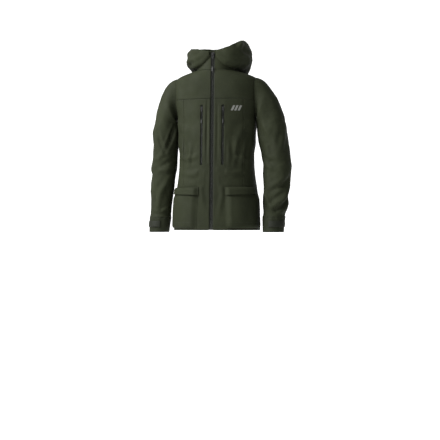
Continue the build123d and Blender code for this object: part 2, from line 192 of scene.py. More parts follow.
OLIVE = (0.0132, 0.0158, 0.0076)
PAINTS = {
    "shell_fabric": woven("shell_fabric_laminate", OLIVE),
    "shell_fabric_dark": woven("shell_fabric_dark_laminate", (0.0124, 0.0148, 0.0076), vary=0.10),
    "lining": woven("lining_tricot", (0.045, 0.048, 0.045), pitch=0.0009, rough=0.85, sheen=0.1),
    "mesh": woven("pocket_mesh", (0.05, 0.052, 0.05), pitch=0.0014, rough=0.8, specular=0.2),
    "zip_tape": woven("zip_tape_knit", (0.0095, 0.0110, 0.0080), pitch=0.0008, rough=0.62, specular=0.2),
    "zip_coil": moulded("zip_coil_nylon", (0.0075, 0.0088, 0.0068), 0.42, specular=0.28),
    "zip_metal": moulded("zip_slider_paint", (0.010, 0.010, 0.010), 0.34, 0.3),
    "pull_cord": woven("pull_cord_braid", (0.006, 0.0062, 0.006), pitch=0.0007, rough=0.7),
    "pull_grip": moulded("pull_grip_rubber", (0.007, 0.0072, 0.007), 0.5),
    "webbing": woven("loop_webbing", (0.02, 0.021, 0.02), pitch=0.0011, rough=0.66),
    "elastic": woven("hem_elastic", (0.02, 0.02, 0.02), pitch=0.0008),
    "cord_lock": moulded("cord_lock_nylon", (0.018, 0.018, 0.018), 0.42),
    "cuff_tab": moulded("cuff_tab_rubber", (0.0085, 0.0100, 0.0062), 0.62, specular=0.14),
}
STITCH = moulded("stitch_thread", (0.0135, 0.0160, 0.0100), 0.6, specular=0.2)
MARK = moulded("transfer_print", (0.115, 0.118, 0.108), 0.5, specular=0.3)


# --- meshes ----------------------------------------------------------------------------------------


def tree(*names):
    """One search tree over several frame nodes."""
    spots, faces = [], []
    for name in names:
        mesh = NODES[name].data
        base = len(spots)
        spots.extend(v.co.copy() for v in mesh.vertices)
        faces.extend([base + k for k in p.vertices] for p in mesh.polygons)
    return BVHTree.FromPolygons(spots, faces)


def reach(search, centre, ways, far):
    """How far out from a centre the outer surface lies along each way; nan where there is none."""
    out = np.full(len(ways), np.nan)
    centre = Vector(centre)
    for k, way in enumerate(ways):
        way = Vector(way)
        hit = search.ray_cast(centre + way * far, -way, far)
        if hit[3] is not None:
            out[k] = far - hit[3]
    return out


def fill_round(row):
    """A closed row with its gaps bridged."""
    good = np.flatnonzero(~np.isnan(row))
    if len(good) < 3:
        return row
    count = len(row)
    spots = np.concatenate([good - count, good, good + count])
    return np.interp(np.arange(count), spots, np.tile(row[good], 3))


def fill_down(grid):
    """Rows that found nothing, bridged from the rows above and below."""
    good = np.flatnonzero(~np.isnan(grid[:, 0]))
    rows = np.arange(len(grid))
    return np.stack([np.interp(rows, good, grid[good, k]) for k in range(grid.shape[1])], axis=1)


def smooth(grid, down, around, closed=True):
    """Softened by repeated averaging, down the rows and around them."""
    grid = grid.copy()
    for _ in range(down):
        grid[1:-1] = (grid[:-2] + 2 * grid[1:-1] + grid[2:]) / 4
    for _ in range(around):
        if closed:
            grid = (np.roll(grid, 1, 1) + 2 * grid + np.roll(grid, -1, 1)) / 4
        else:
            grid[:, 1:-1] = (grid[:, :-2] + 2 * grid[:, 1:-1] + grid[:, 2:]) / 4
    return grid


def normals_of(grid, closed):
    """Unit normals of a grid of points; which way they look follows the grid's winding."""
    if closed:
        across = np.roll(grid, -1, 1) - np.roll(grid, 1, 1)
    else:
        across = np.gradient(grid, axis=1)
    along = np.gradient(grid, axis=0)
    out = np.cross(across, along)
    return out / np.maximum(np.linalg.norm(out, axis=2, keepdims=True), 1e-12)


def facing(grid, closed, at, way):
    """The normals of a grid, turned so that the one at a row or point looks the given way."""
    outs = normals_of(grid, closed)
    return outs * np.sign(np.sum(outs[at] * way))


def ease(t):
    """A smooth step from 0 to 1."""
    t = np.clip(t, 0, 1)
    return t * t * (3 - 2 * t)


def unit(v):
    """A vector made one long."""
    return v / np.linalg.norm(v)


def level_ways(angles):
    """Level unit vectors at angles round the upright axis."""
    return np.stack([np.cos(angles), np.sin(angles), np.zeros(len(angles))], axis=1)


def lengths(points):
    """How far along a run of points each of them is."""
    return np.concatenate([[0], np.cumsum(np.linalg.norm(np.diff(points, axis=0), axis=1))])


def creases(points, lines):
    """How far each point moves out for creases, each a line of points with a width and a height."""
    out = np.zeros(points.shape[:-1])
    for line, width, height in lines:
        best = np.full(points.shape[:-1], 9.0)
        along = np.zeros(points.shape[:-1])
        for k, (a, b) in enumerate(zip(line, line[1:])):
            a, b = np.array(a), np.array(b)
            run = b - a
            t = np.clip(((points - a) @ run) / max(run @ run, 1e-9), 0, 1)
            far = np.linalg.norm(points - a - t[..., None] * run, axis=-1)
            nearer = far < best
            best = np.where(nearer, far, best)
            along = np.where(nearer, (k + t) / (len(line) - 1), along)
        q = best / width
        out += height * (np.exp(-q * q) - 0.4 * np.exp(-((q - 1.7) ** 2))) * (1 - 0.75 * (2 * along - 1) ** 2)
    return out


def drift(points, size, height, seed):
    """Slow, uneven swelling of the cloth."""
    own = np.random.default_rng(seed)
    out = np.zeros(points.shape[:-1])
    for _ in range(7):
        way = own.normal(size=3) * (1, 1, 0.7)
        way *= 2 * math.pi / size / np.linalg.norm(way) * own.uniform(0.7, 1.5)
        out += np.sin(points @ way + own.uniform(0, 6.28) + 0.8 * np.sin(points @ way[::-1] * 0.6))
    return out * height / 4


def link_new(name, data):
    """A new object in the scene."""
    made = bpy.data.objects.new(name, data)
    bpy.context.scene.collection.objects.link(made)
    return made


def finish_mesh(name, mesh, slot, paint=None):
    """An object from a mesh, smooth and painted by its slot or by a paint of its own."""
    for face in mesh.polygons:
        face.use_smooth = True
    mesh.materials.append(paint or PAINTS[slot])
    made = link_new(name, mesh)
    return made


def grid_object(name, grid, slot, closed=False, flip=False, paint=None, uv=None):
    """A piece of cloth from a grid of points, with its flat lengths as its texture map."""
    rows, cols = grid.shape[:2]
    wraps = cols if closed else cols - 1
    faces = []
    for r in range(rows - 1):
        for c in range(wraps):
            d = (c + 1) % cols
            face = (r * cols + c, r * cols + d, (r + 1) * cols + d, (r + 1) * cols + c)
            faces.append(face[::-1] if flip else face)
    mesh = bpy.data.meshes.new(name)
    mesh.from_pydata(grid.reshape(-1, 3).tolist(), [], faces)
    if uv is None:
        across, down = lengths(grid[rows // 2]), lengths(grid[:, cols // 2])
        step = across[-1] / max(cols - 1, 1)
        across = np.append(across, across[-1] + step)
    else:
        across, down = uv
    layer = mesh.uv_layers.new(name="flat")
    spots = []
    for r in range(rows - 1):
        for c in range(wraps):
            left, right, top, low = across[c], across[c + 1], down[r], down[r + 1]
            corners = [(left, top), (right, top), (right, low), (left, low)]
            spots.extend(corners[::-1] if flip else corners)
    layer.data.foreach_set("uv", np.array(spots, np.float32).ravel())
    mesh.update()
    return finish_mesh(name, mesh, slot, paint)


def thicken(made, by, offset=-1.0):
    """Give cloth its real thickness, as part of the mesh."""
    change = made.modifiers.new("thick", "SOLIDIFY")
    change.thickness = by
    change.offset = offset
    apply_all(made)
    return made


def apply_all(made):
    """Make an object's modifiers part of its mesh."""
    evaluated = made.evaluated_get(bpy.context.evaluated_depsgraph_get())
    mesh = bpy.data.meshes.new_from_object(evaluated)
    made.modifiers.clear()
    made.data = mesh
    return made


def blended(made, weights):
    """Bake an object's placement into its mesh."""
    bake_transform(made)
    return made


def stand_in(made, body, node):
    """A piece stands for a CAD node and rides on a body."""
    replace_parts(made, node)
    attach(made, body)


def stitches(name, runs, body, length=0.0026, pitch=0.0040, thick=0.0004):
    """Rows of short raised stitches along runs of points and outward normals."""
    spots, faces = [], []
    for points, outs in runs:
        far = lengths(points)
        for start in np.arange(pitch / 2, far[-1] - length, pitch):
            ends = []
            for at in (start, start + length):
                p = np.array([np.interp(at, far, points[:, k]) for k in range(3)])
                n = np.array([np.interp(at, far, outs[:, k]) for k in range(3)])
                ends.append((p, unit(n)))
            (p, n), (q, _) = ends
            run = unit(q - p)
            side = np.cross(n, run)
            base = len(spots)
            for t, size in ((0.0, 0.35), (0.25, 1.0), (0.75, 1.0), (1.0, 0.35)):
                middle = p + (q - p) * t + n * thick * 0.1
                for a, b in ((-1, 0), (-0.5, 0.9), (0.5, 0.9), (1, 0)):
                    spots.append(middle + (side * a + n * b) * thick * size)
            for k in range(3):
                for c in range(3):
                    i = base + 4 * k + c
                    faces.append((i, i + 1, i + 5, i + 4))
    mesh = bpy.data.meshes.new(name)
    mesh.from_pydata([tuple(s) for s in spots], [], faces)
    made = finish_mesh(name, mesh, None, STITCH)
    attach(made, body)
    return made


# --- the body --------------------------------------------------------------------------------------

BODY_NODES = ["front_right", "front_left", "side_right", "side_left", "back_panel",
              "front_yoke_right", "front_yoke_left", "back_yoke"]
body_cad = tree(*BODY_NODES)
collar_cad = tree("collar")
AROUND = 288
turns = np.linspace(0, 2 * math.pi, AROUND, endpoint=False)
ways = level_ways(turns)
heights = np.concatenate([np.arange(HEM + 0.0005, -0.062, 0.004), np.arange(-0.060, -0.0035, 0.002)])
found = np.stack([reach(body_cad, (0, AXIS_Y, z), ways, 0.5) for z in heights])
found = np.stack([fill_round(row) for row in found])
found = smooth(fill_down(found), 2, 3)
body = np.stack([
    found * np.cos(turns), AXIS_Y + found * np.sin(turns), np.repeat(heights[:, None], AROUND, 1)
], axis=2)


def cad_spot(x, z, side):
    """A point on the body before its folds: side -1 is the front, 1 the back."""
    hit = body_cad.ray_cast(Vector((x, side * 0.5, z)), Vector((0, -side, 0)))
    return tuple(hit[0]) if hit[0] is not None else (x, side * 0.1, z)


# Each fold is a line of (x, z), its width and how far it stands out.
FRONT_FOLDS = [
    ([(-0.022, -0.14), (-0.023, -0.27), (-0.022, -0.40)], 0.006, -0.0038),
    ([(0.022, -0.15), (0.023, -0.28), (0.022, -0.40)], 0.006, -0.0022),
    ([(0.158, -0.225), (0.125, -0.265), (0.108, -0.33)], 0.020, 0.0050),
    ([(-0.158, -0.225), (-0.128, -0.265), (-0.110, -0.32)], 0.020, 0.0045),
    ([(0.070, -0.32), (0.074, -0.37), (0.070, -0.42)], 0.011, 0.0038),
    ([(0.104, -0.30), (0.099, -0.36), (0.092, -0.42)], 0.012, 0.0048),
    ([(0.142, -0.29), (0.130, -0.35), (0.120, -0.42)], 0.013, 0.0055),
    ([(-0.095, -0.33), (-0.105, -0.42)], 0.009, 0.0050),
    ([(-0.140, -0.29), (-0.128, -0.40)], 0.010, 0.0055),
    ([(0.028, -0.43), (0.090, -0.448), (0.150, -0.435)], 0.012, 0.0045),
    ([(-0.028, -0.44), (-0.090, -0.452), (-0.150, -0.440)], 0.012, 0.0040),
    ([(-0.060, -0.375), (-0.110, -0.385), (-0.150, -0.372)], 0.011, 0.0050),
    ([(0.050, -0.385), (0.110, -0.380), (0.150, -0.390)], 0.011, 0.0045),
    ([(-0.030, -0.60), (-0.045, -0.52), (-0.040, -0.45)], 0.010, 0.0030),
    ([(0.034, -0.62), (0.046, -0.54), (0.038, -0.46)], 0.010, 0.0028),
]
BACK_FOLDS = [
    ([(-0.12, -0.24), (-0.05, -0.30), (0.02, -0.32)], 0.014, 0.0060),
    ([(0.13, -0.23), (0.08, -0.31), (0.05, -0.38)], 0.014, 0.0060),
    ([(-0.14, -0.38), (0.0, -0.395), (0.14, -0.38)], 0.013, 0.0060),
    ([(-0.10, -0.44), (0.0, -0.432), (0.11, -0.45)], 0.013, 0.0055),
    ([(-0.06, -0.62), (-0.05, -0.52)], 0.014, 0.0045),
    ([(0.07, -0.64), (0.08, -0.50)], 0.014, 0.0045),
]
body_folds = [([cad_spot(x, z, side) for x, z in line], width, height)
              for side, folds in ((-1, FRONT_FOLDS), (1, BACK_FOLDS)) for line, width, height in folds]
for _ in range(20):
    turn, z = rng.uniform(0.2, 2.94), rng.uniform(-0.44, -0.34)
    x = 0.15 * math.cos(turn)
    line = [cad_spot(x, z, 1), cad_spot(x + rng.uniform(-0.02, 0.02), z - rng.uniform(0.03, 0.07), 1)]
    body_folds.append((line, 0.008, rng.uniform(0.002, 0.004)))

# Folds fade at the neck, the hem and the main zip, and where the chest zips' pulls travel.
wide, deep, high = np.abs(body[..., 0]), body[..., 1], body[..., 2]
calm = ease((-0.02 - high) / 0.05) * ease((high - HEM) / 0.05 + 0.35)
beside = ease((np.abs(wide - PULL_LANE[0]) - 0.0065) / 0.012)
lane = ease((PULL_LANE[1] - high) / 0.02) * ease((high - PULL_LANE[2]) / 0.03) * (deep < 0)
calm = calm * (1 - lane * (1 - beside))
calm = calm * ease((wide - 0.004) / 0.012 + 0.15 * (deep > 0) * 9)
shift = creases(body, body_folds) + drift(body, 0.16, 0.0016, 3) + drift(body, 0.06, 0.0005, 4)
full = ease((-0.19 - high) / 0.05) * ease((high + 0.365) / 0.06)
full = FULLNESS * full * ease((wide - 0.135) / 0.022)
body = body + normals_of(body, True) * (shift * calm + full)[..., None]
nexts = np.roll(np.arange(AROUND), -1).tolist()
smooth_skin = BVHTree.FromPolygons(
    body.reshape(-1, 3).tolist(),
    [(r + c, r + d, r + AROUND + d, r + AROUND + c)
     for r in range(0, (len(body) - 1) * AROUND, AROUND) for c, d in enumerate(nexts)])


def body_panel_of(p):
    """Which panel a face belongs to, by where it is; none where the body is open."""
    side = "right" if p.x < 0 else "left"
    if abs(p.x) < ZIP_EDGE and p.y < 0:
        return None
    if abs(p.x) > ARMHOLE and p.z > ARMHOLE_LOW:
        return None
    if p.z > YOKE_SEAM:
        return f"front_yoke_{side}" if p.y < SHOULDER_Y else "back_yoke"
    if abs(p.x) > SIDE_SEAM:
        return f"side_{side}"
    if p.y > 0:
        return "back_panel"
    half, top, low = CHEST_CUT
    if abs(p.x - CHEST_ZIP[side].x) < half and low < p.z < top:
        return None
    return f"front_{side}"


def make_body():
    """The whole body as one mesh, cut along its seams, then parted into panels."""
    whole = grid_object("body_skin", body, "shell_fabric", closed=True,
                        uv=(np.arange(AROUND + 1) / AROUND * 1.02, heights))
    bm = bmesh.new()
    bm.from_mesh(whole.data)
    bpy.data.objects.remove(whole)
    planes = [((x, 0, 0), (1, 0, 0)) for x in (-ZIP_EDGE, ZIP_EDGE, -SIDE_SEAM, SIDE_SEAM, -ARMHOLE, ARMHOLE)]
    planes += [((0, 0, z), (0, 0, 1)) for z in (YOKE_SEAM, ARMHOLE_LOW, *CHEST_CUT[1:])]
    planes += [((0, SHOULDER_Y, 0), (0, 1, 0))]
    for middle in CHEST_ZIP.values():
        planes += [((middle.x + e, 0, 0), (1, 0, 0)) for e in (-CHEST_CUT[0], CHEST_CUT[0])]
    for spot, way in planes:
        geom = bm.verts[:] + bm.edges[:] + bm.faces[:]
        bmesh.ops.bisect_plane(bm, geom=geom, plane_co=spot, plane_no=way, dist=1e-7)
    bm.faces.ensure_lookup_table()
    bm.faces.index_update()
    owner = {}
    for face in bm.faces:
        owner.setdefault(body_panel_of(face.calc_center_median()), set()).add(face.index)
    panels = {}
    for name, kept in owner.items():
        if name is None:
            continue
        part = bm.copy()
        part.faces.ensure_lookup_table()
        gone = [f for f in part.faces if f.index not in kept]
        bmesh.ops.delete(part, geom=gone, context="FACES")
        part.normal_update()
        for vert in part.verts:
            if vert.is_boundary and vert.co.z > HEM + 0.002:
                vert.co -= vert.normal * 0.0007
        mesh = bpy.data.meshes.new(name + "_cloth")
        part.to_mesh(mesh)
        part.free()
        panels[name] = finish_mesh(name + "_cloth", mesh, "shell_fabric")
    bm.free()
    return panels


panels = make_body()
for name, made in panels.items():
    stand_in(made, "torso", name)
    thicken(made, 0.0012)


def on_body(x, z, front=True):
    """A point on the finished cloth and its outward normal, seen from the front or the back."""
    sign = -1 if front else 1
    hit = smooth_skin.ray_cast(Vector((x, sign * 0.5, z)), Vector((0, -sign, 0)), 0.5)
    if hit[0] is None:
        return np.array((x, sign * 0.1, z)), np.array((0.0, sign, 0.0))
    normal = hit[1] if hit[1].y * sign > 0 else -hit[1]
    return np.array(hit[0]), np.array(normal)


def round_body(turn, z):
    """A point on the finished cloth and its outward normal, at an angle round the body."""
    way = Vector((math.cos(turn), math.sin(turn), 0))
    hit = smooth_skin.ray_cast(Vector((0, AXIS_Y, z)) + way * 0.5, -way, 0.5)
    normal = hit[1] if hit[1].dot(way) > 0 else -hit[1]
    return np.array(hit[0]), np.array(normal)


def laid(xs, zs, offset):
    """A grid laid over the front of the body, lifted off it by offset(x, z)."""
    return np.array([[p + n * offset(x, z) for x in xs for p, n in (on_body(x, z),)] for z in zs])


def line_on_body(spots, count, front=True):
    """A run of points and normals over the cloth, between (x, z) spots."""
    spots = np.array(spots, float)
    far = np.linspace(0, len(spots) - 1, count)
    pairs = [on_body(np.interp(t, range(len(spots)), spots[:, 0]),
                     np.interp(t, range(len(spots)), spots[:, 1]), front) for t in far]
    return np.array([p for p, _ in pairs]), np.array([n for _, n in pairs])


# --- sleeves ---------------------------------------------------------------------------------------

ARM = {  # (x, z) of the sleeve's middle, and the wrist's y
    "right": {"top": (-0.2275, -0.224), "elbow": (-0.233, -0.402), "wrist": (-0.251, -0.698), "y": -0.016},
    "left": {"top": (0.234, -0.224), "elbow": (0.259, -0.408), "wrist": (0.251, -0.698), "y": -0.022},
}
ARMPIT_X, ARMPIT_Z = 0.1745, -0.222  # the spot that the sleeve's cap fans out from
CAP_REACH = 0.092  # from the armpit to the middle of the armhole
SLEEVE_LEVELS = 92
RINGS = 96  # points round a sleeve
CAP_STEPS = 36
SPLIT = CAP_STEPS + 27  # the row where the upper sleeve ends and the lower one starts
LEFT_SWELL = 0.0110  # how much fuller the left sleeve is outside
SLEEVE_TOP = -0.2275  # where level rows take over from the cap's fan
SEAM_X, SECTION_X = 0.1716, 0.1714  # where the sleeve's first ring lies, and the body is measured for it
ARM_RADIUS = 0.052  # about how far the cloth is from the sleeve's middle, to place folds
psi = np.linspace(0, 2 * math.pi, RINGS, endpoint=False)


def arm_middle(side, z):
    """The middle of the sleeve at a height."""
    arm = ARM[side]
    if z > arm["elbow"][1]:
        t = (arm["top"][1] - z) / (arm["top"][1] - arm["elbow"][1])
        return np.array((arm["top"][0] + t * (arm["elbow"][0] - arm["top"][0]), SHOULDER_Y, z))
    t = (arm["elbow"][1] - z) / (arm["elbow"][1] - arm["wrist"][1])
    x = arm["elbow"][0] + t * (arm["wrist"][0] - arm["elbow"][0])
    return np.array((x, SHOULDER_Y + t * (arm["y"] - SHOULDER_Y), z))


def round_arm(side, turn):
    """Which way an angle round the arm looks: 0 outside and pi/2 in front."""
    return np.array((SIDES[side] * math.cos(turn), -math.sin(turn), 0))


# Each fold is a line of (angle round the arm, z), its width and how far it stands out.
SLEEVE_FOLDS = {
    "right": [
        (((1.10, -0.262), (1.35, -0.305), (1.75, -0.352)), 0.008, -0.0100),
        (((2.55, -0.232), (2.20, -0.290), (1.78, -0.352)), 0.008, -0.0100),
        (((1.72, -0.352), (1.30, -0.378), (0.60, -0.385)), 0.011, 0.0060),
        (((2.70, -0.375), (1.90, -0.400), (1.10, -0.425)), 0.010, -0.0060),
        (((2.90, -0.410), (2.00, -0.432), (1.30, -0.428)), 0.010, 0.0060),
        (((0.10, -0.395), (0.50, -0.430), (1.00, -0.450)), 0.011, 0.0055),
        (((2.20, -0.470), (1.60, -0.530), (1.40, -0.600)), 0.012, 0.0045),
        (((0.60, -0.480), (1.00, -0.550), (1.20, -0.610)), 0.012, -0.0045),
        (((0.30, -0.230), (0.50, -0.280), (0.90, -0.330)), 0.012, 0.0050),
        (((-1.4, -0.300), (-0.9, -0.370), (-0.3, -0.420)), 0.012, 0.0060),
        (((-2.4, -0.360), (-1.8, -0.400), (-1.0, -0.410)), 0.011, -0.0060),
        (((-1.8, -0.480), (-1.2, -0.540), (-0.8, -0.600)), 0.012, 0.0050),
        (((2.60, -0.590), (1.80, -0.612), (0.90, -0.605)), 0.008, 0.0040),
    ],
    "left": [
        (((0.10, -0.500), (0.80, -0.555), (1.70, -0.590)), 0.011, 0.0100),
        (((0.00, -0.545), (0.80, -0.590), (1.50, -0.615)), 0.010, -0.0085),
        (((0.20, -0.455), (0.90, -0.500), (1.90, -0.530)), 0.011, -0.0095),
        (((2.60, -0.370), (1.90, -0.395), (1.00, -0.400)), 0.010, -0.0065),
        (((2.60, -0.405), (1.80, -0.425), (0.90, -0.440)), 0.010, 0.0065),
        (((0.30, -0.240), (0.80, -0.310), (1.30, -0.370)), 0.013, 0.0055),
        (((2.40, -0.245), (1.90, -0.300), (1.60, -0.360)), 0.012, -0.0055),
        (((1.00, -0.250), (1.25, -0.300), (1.45, -0.350)), 0.010, 0.0040),
        (((-1.4, -0.300), (-0.9, -0.370), (-0.3, -0.430)), 0.012, 0.0060),
        (((-2.4, -0.370), (-1.8, -0.405), (-1.0, -0.415)), 0.011, -0.0060),
        (((-1.6, -0.500), (-0.9, -0.550), (-0.3, -0.590)), 0.012, 0.0055),
        (((2.70, -0.500), (2.10, -0.560), (1.60, -0.610)), 0.011, 0.0055),
    ],
}


def sleeve_folds(side):
    """One sleeve's folds as points in space."""
    def at(turn, z):
        return tuple(arm_middle(side, z) + ARM_RADIUS * round_arm(side, turn))

    return [([at(turn, z) for turn, z in line], width, out) for line, width, out in SLEEVE_FOLDS[side]]


def sleeve_rays(side):
    """Rows from armhole to cuff, each a middle, a fan of rays and, in the cap, how far the armpit is."""
    sign = SIDES[side]
    top = abs(ARM[side]["top"][0])
    forward = np.array((0, -1.0, 0))
    found = []
    for k in range(CAP_STEPS):
        turn = k / (CAP_STEPS - 1) * math.pi / 2
        way = np.array((sign * math.sin(turn), 0, math.cos(turn)))
        out = CAP_REACH + (top - ARMPIT_X - CAP_REACH) * k / (CAP_STEPS - 1)
        middle = np.array((sign * ARMPIT_X, SHOULDER_Y, ARMPIT_Z)) + way * out
        found.append((middle, np.cos(psi)[:, None] * way + np.sin(psi)[:, None] * forward, out))
    for z in np.linspace(SLEEVE_TOP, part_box(f"cuff_{side}")[1].z - 0.002, SLEEVE_LEVELS):
        rays = np.cos(psi)[:, None] * np.array((sign, 0, 0)) + np.sin(psi)[:, None] * forward
        found.append((arm_middle(side, z), rays, None))
    return found


def sleeve_skin(side):
    """The sleeve before its folds, from the frame's own sleeve parts."""
    cad = tree(f"shoulder_gusset_{side}", f"sleeve_upper_{side}", f"elbow_gusset_{side}",
               f"sleeve_lower_{side}", f"cuff_{side}")
    under = np.abs(psi - math.pi) < 0.35
    rows = sleeve_rays(side)
    reaches = []
    for middle, rays, out in rows:
        row = reach(cad, middle, rays, 0.30 if out is None else 0.35)
        if out is not None:
            row[under & (np.isnan(row) | (row > out))] = out
        elif np.isnan(row).sum() > RINGS / 3:
            row[:] = np.nan
        reaches.append(fill_round(row))
    far = smooth(fill_down(np.array(reaches)), 4, 2)
    far[:CAP_STEPS + 6] = smooth(far[:CAP_STEPS + 6], 14, 4)
    step = reach(body_cad, (SIDES[side] * SECTION_X, SHOULDER_Y, -0.130), rows[0][1], 0.35) - far[0]
    step[np.isnan(step) | (np.abs(step) > 0.03)] = 0
    step = smooth(np.tile(step, (2, 1)), 0, 4)[0]
    for k in range(10):
        far[k] += step * (1 - ease(k / 10))
    grid = np.array([middle + rays * f[:, None] for (middle, rays, _), f in zip(rows, far)])
    first = grid[:1].copy()
    first[..., 0] = SIDES[side] * SEAM_X
    return np.concatenate([first, grid])


def sleeve_normals(grid):
    """A sleeve's normals, turned outwards by a row well below the shoulder."""
    return facing(grid, True, 60, grid[60] - grid[60].mean(axis=0))


def make_sleeve(side):
    """A sleeve as two pieces of cloth, split at a ring: the upper stands for the shoulder gusset and upper
    sleeve, the lower for the elbow gusset and lower sleeve.
    """
    sign = SIDES[side]
    grid = sleeve_skin(side)
    outs = sleeve_normals(grid)
    level = np.arange(len(grid))
    height = grid[..., 2]
    calm = ease((level - 3) / 14)[:, None] * ease((len(grid) - 1 - level) / 8 + 0.1)[:, None]
    move = creases(grid, sleeve_folds(side))
    move = move + drift(grid, 0.09, 0.0022, 21 + sign) + drift(grid, 0.035, 0.0006, 31 + sign)
    inner = ease((-np.cos(psi) - 0.55) / 0.35)[None, :]
    move = move + FULLNESS * inner * ease((-0.20 - height) / 0.05) * ease((height + 0.365) / 0.06)
    if side == "left":
        outer = ease((np.cos(psi) + 0.2) / 1.0)[None, :]
        move = move + LEFT_SWELL * outer * ease((level - 2) / 20)[:, None] * ease((height + 0.66) / 0.10)
    grid = grid + outs * (move * calm)[..., None]
    outs = sleeve_normals(grid)
    down = lengths(grid[:, 0])
    round_it = np.arange(RINGS + 1) / RINGS * 0.34
    upper, lower = (
        grid_object(f"sleeve_{part}_{side}_cloth", grid[rows], "shell_fabric", True, sign < 0,
                    uv=(round_it, down[rows]))
        for part, rows in (("upper", slice(0, SPLIT + 1)), ("lower", slice(SPLIT, None))))
    blend_normals(upper, lower, outs)
    # Weights that rise sooner at the top of the cap than at the underarm.
    span = 14 + (CAP_STEPS - 10) * (1 - np.cos(psi)) / 2
    blended(upper, ease((np.arange(SPLIT + 1)[:, None] - 2) / span))
    bend = ease((ARM[side]["elbow"][1] + 0.048 - grid[SPLIT:, :, 2].mean(axis=1)) / 0.096)
    blended(lower, np.repeat(bend, RINGS))
    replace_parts(upper, f"shoulder_gusset_{side}", f"sleeve_upper_{side}")
    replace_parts(lower, f"elbow_gusset_{side}", f"sleeve_lower_{side}")
    stitches(f"armhole_stitch_{side}", [closed_run(grid[3], outs[3])], "torso")
    return upper, lower


def closed_run(points, outs):
    """A run of points and normals that ends where it starts."""
    return np.concatenate([points, points[:1]]), np.concatenate([outs, outs[:1]])


def blend_normals(upper, lower, outs):
    """One smooth surface across the line where two pieces of a sleeve meet."""
    flat = outs.reshape(-1, 3)
    for made, rows in ((upper, slice(0, (SPLIT + 1) * RINGS)), (lower, slice(SPLIT * RINGS, None))):
        made.data.normals_split_custom_set_from_vertices([tuple(n) for n in flat[rows]])


def make_cuff(side):
    """The cuff: a doubled band, turned in at the wrist."""
    sign = SIDES[side]
    cad = tree(f"cuff_{side}")
    low, high = (corner.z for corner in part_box(f"cuff_{side}"))
    levels = np.linspace(low + 0.0005, high - 0.0005, 26)
    ways = np.stack([sign * np.cos(psi), -np.sin(psi), np.zeros(RINGS)], axis=1)
    far = np.array([fill_round(reach(cad, arm_middle(side, z), ways, 0.3)) for z in levels])
    grid = np.array([arm_middle(side, z) + ways * f[:, None] for z, f in zip(levels, far)])
    outs = facing(grid, True, 5, ways)
    ripple = 0.0010 * np.sin(psi * 5 + 1.0) + 0.0007 * np.sin(psi * 11 + 2.0)
    move = ripple[None] * ease(np.linspace(0.2, 1, 26))[:, None] + drift(grid, 0.05, 0.0009, 50 + sign)
    grid = grid + outs * move[..., None]

    def edge(row, steps):
        return [row - ways * inset + np.array((0, 0, up)) for inset, up in steps]

    turned = edge(grid[0], ((0.0062, 0.022), (0.0060, 0.010), (0.0055, 0.0020), (0.0040, 0.0),
                            (0.0022, -0.0008), (0.0008, -0.0004)))
    lip = edge(grid[-1], ((0.0008, 0.0008), (0.0022, 0.0012), (0.0042, 0.0002)))
    whole = np.concatenate([turned, grid, lip])
    cuff = grid_object(f"cuff_{side}_cloth", whole, "shell_fabric_dark", True, sign > 0)
    stand_in(cuff, f"forearm_{side}", f"cuff_{side}")
    lines = [closed_run(grid[k], outs[k]) for k in (3, 22)]
    stitches(f"cuff_stitch_{side}", lines, f"forearm_{side}")
    return cuff


def make_cuff_tab(side):
    """The cuff's strap, laid round the wrist with a rounded free end."""
    cad = tree(f"cuff_tab_{side}")
    low, high = (corner.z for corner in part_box(f"cuff_tab_{side}"))
    middle_z = (low + high) / 2
    middle = arm_middle(side, middle_z)
    tried = np.linspace(-0.6, 3.4, 400)
    fars = reach(cad, middle, [round_arm(side, turn) for turn in tried], 0.3)
    seen = ~np.isnan(fars)
    spots = np.linspace(tried[seen][0], tried[seen][-1], 44)
    rows = []
    for v in np.linspace(-1, 1, 14):
        row = []
        for turn, far in zip(spots, np.interp(spots, tried[seen], fars[seen])):
            ahead = (turn - spots[0]) / 0.16
            half = (high - low) / 2 * math.sqrt(max(0.0, 1 - (1 - min(ahead, 1)) ** 2) * 0.9 + 0.1)
            z = middle_z + v * half
            out = far - 0.0012 + 0.0006 * (1 - abs(v) ** 6)
            row.append(arm_middle(side, z) * (1, 1, 0) + (0, 0, z) + round_arm(side, turn) * out)
        rows.append(row)
    tab = grid_object(f"cuff_tab_{side}_strap", np.array(rows), "cuff_tab", False, SIDES[side] > 0)
    thicken(tab, 0.0020, 0)
    stand_in(tab, f"cuff_tab_{side}", f"cuff_tab_{side}")
    return tab


sleeves = {side: make_sleeve(side) for side in SIDES}
cuffs = {side: (make_cuff(side), make_cuff_tab(side)) for side in SIDES}


# --- collar and hood -------------------------------------------------------------------------------


def collar_ring(z, count=150):
    """An open ring round the collar, from the wearer's right of the zip round to the left."""
    bearings = -math.pi / 2 - 0.098 - np.arange(count) / (count - 1) * (2 * math.pi - 0.196)
    ways = level_ways(bearings)
    far = reach(collar_cad, (0, 0, z), ways, 0.3)
    good = np.flatnonzero(~np.isnan(far))
    return ways * np.interp(np.arange(count), good, far[good])[:, None] + (0, 0, z)


